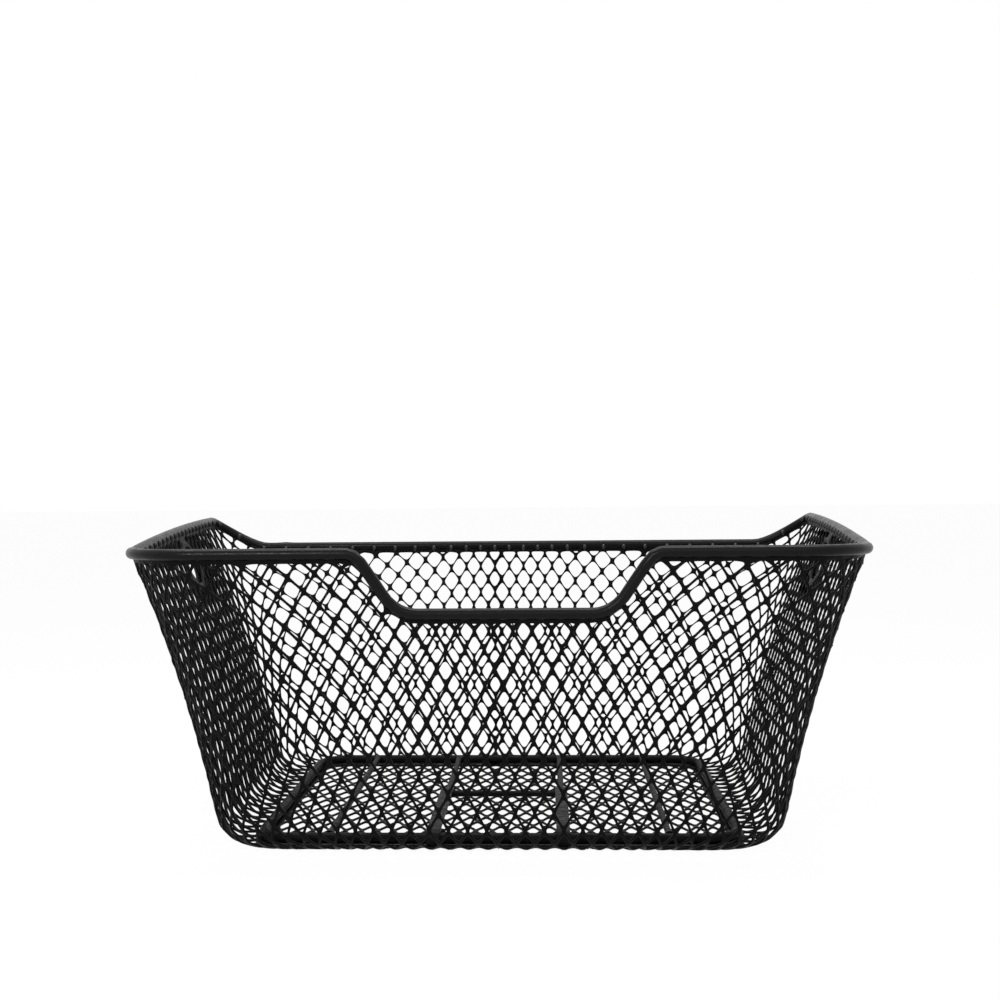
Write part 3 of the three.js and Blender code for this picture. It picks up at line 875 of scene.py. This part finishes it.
# Bracket straps. Two flat steel straps lie on the cross bar and the near run of the ring. Their far
# ends stop on the bar, and their near ends curl round the ring and down through the mesh.
strap_width = 0.008
strap_thickness = 0.002
strap_gap = 0.0003
strap_curl = radians(200)
strap_curl_steps = 18
edge_round = 0.0004
edge_round_steps = 2
sharpest_bend = radians(35)


def stamped(name, outlines, thickness, place, material):
    """A flat stamped piece with rounded edges: its outline first, then its holes, set in its place."""
    flat = bpy.data.curves.new(name, "CURVE")
    flat.dimensions = "2D"
    flat.fill_mode = "BOTH"
    flat.extrude = thickness / 2 - edge_round
    flat.bevel_depth = edge_round
    flat.bevel_resolution = edge_round_steps
    flat.offset = -edge_round
    for outline in outlines:
        spline = flat.splines.new("POLY")
        spline.points.add(len(outline) - 1)
        for point, (x, y) in zip(spline.points, outline):
            point.co = (x, y, 0, 1)
        spline.use_cyclic_u = True
    blank = bpy.data.objects.new(name + "_blank", flat)
    scene.collection.objects.link(blank)
    mesh = shape_of(blank)
    bpy.data.objects.remove(blank)
    mesh.transform(place)
    welded = bmesh.new()
    welded.from_mesh(mesh)
    bmesh.ops.remove_doubles(welded, verts=welded.verts, dist=merge_distance)
    bmesh.ops.recalc_face_normals(welded, faces=welded.faces)
    welded.to_mesh(mesh)
    welded.free()
    mesh.polygons.foreach_set("use_smooth", [True] * len(mesh.polygons))
    mesh.set_sharp_from_angle(angle=sharpest_bend)
    mesh.materials.clear()
    mesh.materials.append(material)
    mesh.name = name
    piece = bpy.data.objects.new(name, mesh)
    scene.collection.objects.link(piece)
    return piece


# The straps and plates get a lighter black than the mesh's dip coat: painted light on their flat faces.
stamped_vinyl_painted_light = dipped_vinyl("stamped_vinyl_painted_light", deep=(0.005, 0.005, 0.0054), worn=(0.009, 0.009, 0.0096),
                             specular=0.06, roughness=0.42, grain=260.0, lump=0.002)
strap_inner = ring_rod_radius + strap_gap
strap_outer = strap_inner + strap_thickness
curl = range(strap_curl_steps + 1)
for side in ("left", "right"):
    node = "bracket_strap_" + side
    low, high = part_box(node)
    outline = [(high.y, ring_z + strap_inner), (high.y, ring_z + strap_outer)]
    for radius, steps in ((strap_outer, curl), (strap_inner, reversed(curl))):
        for k in steps:
            angle = pi / 2 + strap_curl * k / strap_curl_steps
            outline.append((radius * cos(angle) - ring_half_depth, radius * sin(angle) + ring_z))
    upright = Matrix(((0, 0, 1, (low.x + high.x) / 2), (1, 0, 0, 0), (0, 1, 0, 0), (0, 0, 0, 1)))
    piece = stamped(node + "_coated", [outline], strap_width, upright, stamped_vinyl_painted_light)
    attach(piece, "root")
    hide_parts(node)


# Strap plates. A stamped steel plate with a round hole is fixed outside each side wall, close under the
# rim, for the hook of a luggage strap. It is dipped together with the mesh.
plate_half = 0.033
plate_thickness = 0.0015
plate_corner_radius = 0.016
plate_hole_radius = 0.011
plate_gap = 0.0016
arc_steps = 24


def arc(x, y, radius, start, end):
    return [(x + radius * cos(start + (end - start) * k / arc_steps),
             y + radius * sin(start + (end - start) * k / arc_steps)) for k in range(arc_steps + 1)]


for name, side in (("strap_plate_left", -1), ("strap_plate_right", 1)):
    tilt = side * side_rise * plate_half
    foot = plate_corner_radius - plate_height
    reach = plate_half - plate_corner_radius
    outline = [(plate_half, tilt), (-plate_half, -tilt)]
    outline += arc(-reach, foot, plate_corner_radius, pi, 1.5 * pi)
    outline += arc(reach, foot, plate_corner_radius, 1.5 * pi, 2 * pi)
    hole = arc(-side * plate_hole_shift, -plate_hole_drop, plate_hole_radius, 0, 2 * pi)[:-1]
    place = plate_frame(side) @ Matrix.Translation((0, 0, plate_gap + plate_thickness / 2))
    piece = stamped(name + "_coated", [outline, hole], plate_thickness, place, stamped_vinyl_painted_light)
    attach(piece, "root")
    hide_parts(name)


# Studio. A wide pale floor under a white sky, with a long softbox overhead, a fainter one in front and a
# small strip to the left of the camera, aimed at the left end of the near rim. The camera sees the floor
# and the sky as white, and the floor still keeps a little of the shadow.
floor_half = 30.0
floor_white = 0.95
floor_grey = 0.9
floor_clearance = 0.0002
sky_light = 0.6

studio_mesh = bpy.data.meshes.new("studio_floor")
studio_mesh.from_pydata([(-floor_half, -floor_half, 0), (floor_half, -floor_half, 0),
                         (floor_half, floor_half, 0), (-floor_half, floor_half, 0)], [], [(0, 1, 2, 3)])
studio_floor = bpy.data.objects.new("studio_floor", studio_mesh)
scene.collection.objects.link(studio_floor)
studio_floor.location.z = cad_box[0].z - floor_clearance


def seen_directly(tree):
    """1 for rays that show the background: from the camera, or by way of gloss or glass."""
    ray = add_node(tree, "ShaderNodeLightPath").outputs
    either = add_node(tree, "ShaderNodeMath", {0: ray["Is Camera Ray"], 1: ray["Is Glossy Ray"]},
                      operation="MAXIMUM")
    any_of = add_node(tree, "ShaderNodeMath", {0: either.outputs[0], 1: ray["Is Transmission Ray"]},
                      operation="MAXIMUM")
    return any_of.outputs[0]


pale = bpy.data.materials.new("pale_floor")
pale.use_nodes = True
tree = pale.node_tree
tree.nodes.clear()
matt = add_node(tree, "ShaderNodeBsdfDiffuse", {"Color": (floor_grey, floor_grey, floor_grey, 1)})
white = add_node(tree, "ShaderNodeEmission", {"Color": (1, 1, 1, 1), "Strength": 1.0})
share = add_node(tree, "ShaderNodeMath", {0: seen_directly(tree), 1: floor_white}, operation="MULTIPLY")
mixed = add_node(tree, "ShaderNodeMixShader",
                 {0: share.outputs[0], 1: matt.outputs[0], 2: white.outputs[0]})
add_node(tree, "ShaderNodeOutputMaterial", {"Surface": mixed.outputs[0]})
studio_mesh.materials.append(pale)

sky = bpy.data.worlds.new("white_sky")
scene.world = sky
sky.use_nodes = True
tree = sky.node_tree
level = add_node(tree, "ShaderNodeMapRange",
                 {"Value": seen_directly(tree), "To Min": sky_light, "To Max": 1.0})
tree.nodes["Background"].inputs["Color"].default_value = (1, 1, 1, 1)
tree.links.new(level.outputs[0], tree.nodes["Background"].inputs["Strength"])


def softbox(name, place, target, size, watts):
    lamp = bpy.data.lights.new(name, "AREA")
    lamp.shape = "RECTANGLE"
    lamp.size, lamp.size_y = size
    lamp.energy = watts
    holder = bpy.data.objects.new(name, lamp)
    holder.location = place
    holder.rotation_euler = (Vector(target) - Vector(place)).to_track_quat("-Z", "Y").to_euler()
    scene.collection.objects.link(holder)


softbox("overhead_softbox", place=(0, 0.05, 1.15), target=(0, 0, 0.1),
        size=(1.3, 0.4), watts=12.0)
softbox("front_softbox", place=(0.3, -1.5, 1.0), target=(0, 0, 0.1),
        size=(0.8, 0.8), watts=2.0)
softbox("side_strip", place=(-0.33, -0.85, 0.45), target=(-0.15, -0.15, 0.17),
        size=(0.14, 0.05), watts=2.0)


# Camera. At the height of the basket's rim, a little to the right of its middle, looking level.
camera_place = (0.0294, -0.7996, 0.203)
camera_yaw = radians(2.2)
camera_roll = radians(0.5)
picture_focal = 1.187
sensor_width = 36.0

lens = bpy.data.cameras.new("camera")
lens.sensor_width = sensor_width
lens.lens = picture_focal * sensor_width
camera = bpy.data.objects.new("camera", lens)
scene.collection.objects.link(camera)
look_level = Matrix.Rotation(pi / 2, 4, "X")
turn = Matrix.Rotation(camera_yaw, 4, "Z") @ look_level @ Matrix.Rotation(-camera_roll, 4, "Z")
camera.matrix_world = Matrix.Translation(camera_place) @ turn
scene.camera = camera
scene.view_settings.view_transform = "Standard"
